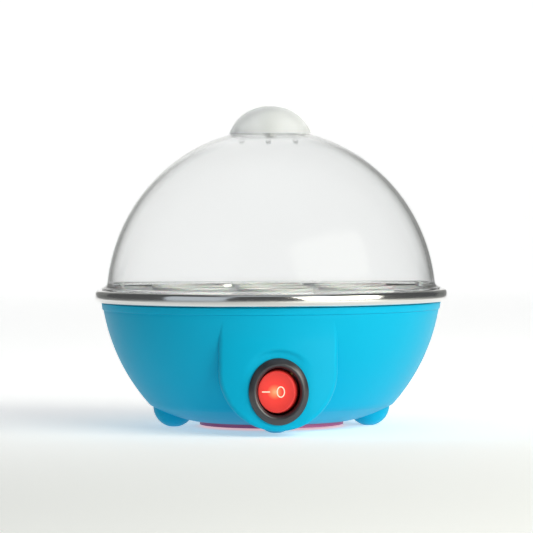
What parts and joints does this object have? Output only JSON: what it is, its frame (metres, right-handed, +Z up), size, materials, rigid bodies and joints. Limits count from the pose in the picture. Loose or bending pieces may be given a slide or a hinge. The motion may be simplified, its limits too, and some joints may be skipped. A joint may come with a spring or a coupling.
{
  "type": "egg cooker",
  "caption": "Electric egg cooker: bowl-shaped plastic base with a front rocker switch, steel heating pan, egg tray and a clear domed lid with a cap knob.",
  "frame": {"origin": "centre of the circle the feet stand on, at the level of their flat ends", "axes": "+Z up along the axis of the bowl and dome, -Y to the front where the switch is, +X to the right seen from the front"},
  "size_m": [0.176, 0.176, 0.1599],
  "materials": {
    "blue_plastic": "smooth moulded plastic with a soft sheen",
    "pink_plastic": "smooth moulded plastic",
    "clear_plastic": "clear moulded plastic",
    "frosted_plastic": "clear to milky moulded plastic",
    "tray_plastic": "milky white moulded plastic",
    "pan_steel": "bright stainless sheet with a polished rolled rim",
    "cast_aluminium": "cast, matt",
    "black_plastic": "satin black moulding",
    "red_plastic": "translucent red, lit from inside",
    "lamp_glass": "small neon lamp",
    "ceramic_body": "ceramic, matt",
    "black_rubber": "matt rubber",
    "sleeve_red": "soft insulating sleeve",
    "wire_red": "wire insulation",
    "wire_brown": "wire insulation",
    "wire_blue": "wire insulation",
    "wire_green": "wire insulation",
    "brass": "stamped brass",
    "zinc_steel": "plated steel"
  },
  "bodies": {
    "base": {"base_cover": "pink_plastic", "base_housing": "blue_plastic", "clamp_screw_1": "zinc_steel", "clamp_screw_2": "zinc_steel", "cord_gland": "black_rubber", "cover_screw_1": "zinc_steel", "cover_screw_2": "zinc_steel", "cover_screw_3": "zinc_steel", "earth_tag": "brass", "foot_front": "blue_plastic", "foot_left": "blue_plastic", "foot_rear": "blue_plastic", "foot_right": "blue_plastic", "fuse_clip": "cast_aluminium", "heater_element": "zinc_steel", "heater_plate": "cast_aluminium", "heating_pan": "pan_steel", "plate_stud_left": "zinc_steel", "plate_stud_right": "zinc_steel", "retaining_strap": "zinc_steel", "strap_nut_left": "zinc_steel", "strap_nut_right": "zinc_steel", "strap_screw_1": "zinc_steel", "strap_screw_2": "zinc_steel", "switch_body": "black_plastic", "switch_lamp": "lamp_glass", "switch_tab_left": "brass", "switch_tab_middle": "brass", "switch_tab_right": "brass", "tab_sleeve_left": "sleeve_red", "tab_sleeve_middle": "sleeve_red", "tab_sleeve_right": "sleeve_red", "thermal_fuse": "ceramic_body", "thermostat": "ceramic_body", "thermostat_clamp": "zinc_steel", "wire_earth": "wire_green", "wire_element": "wire_red", "wire_fuse": "wire_red", "wire_lamp": "wire_blue", "wire_link": "wire_red", "wire_live": "wire_brown", "wire_neutral": "wire_blue"},
    "tray": {"egg_tray": "tray_plastic"},
    "lid": {"lid_dome": "clear_plastic", "lid_knob": "frosted_plastic", "knob_screw": "zinc_steel"},
    "rocker": {"switch_rocker": "red_plastic", "switch_plunger": "brass", "plunger_spring": "zinc_steel"},
    "contact": {"switch_contact": "brass"}
  },
  "joints": [
    {"name": "tray_lift", "type": "slide", "parent": "base", "child": "tray", "axis": [0, 0, 1], "range_m": [0, 0.06]},
    {"name": "lid_lift", "type": "slide", "parent": "tray", "child": "lid", "axis": [0, 0, 1], "range_m": [0, 0.1]},
    {"name": "rocker_tilt", "type": "hinge", "parent": "base", "child": "rocker", "pos_m": [0, -0.07646, 0.0219], "axis": [0, 0, 1], "range_deg": [0, 20]},
    {"name": "contact_tilt", "type": "hinge", "parent": "base", "child": "contact", "pos_m": [0, -0.06806, 0.0275], "axis": [0, 0, 1], "range_deg": [-12, 0]}
  ],
  "couplings": [
    {"joint": "contact_tilt", "follows": "rocker_tilt", "ratio": -0.6}
  ]
}
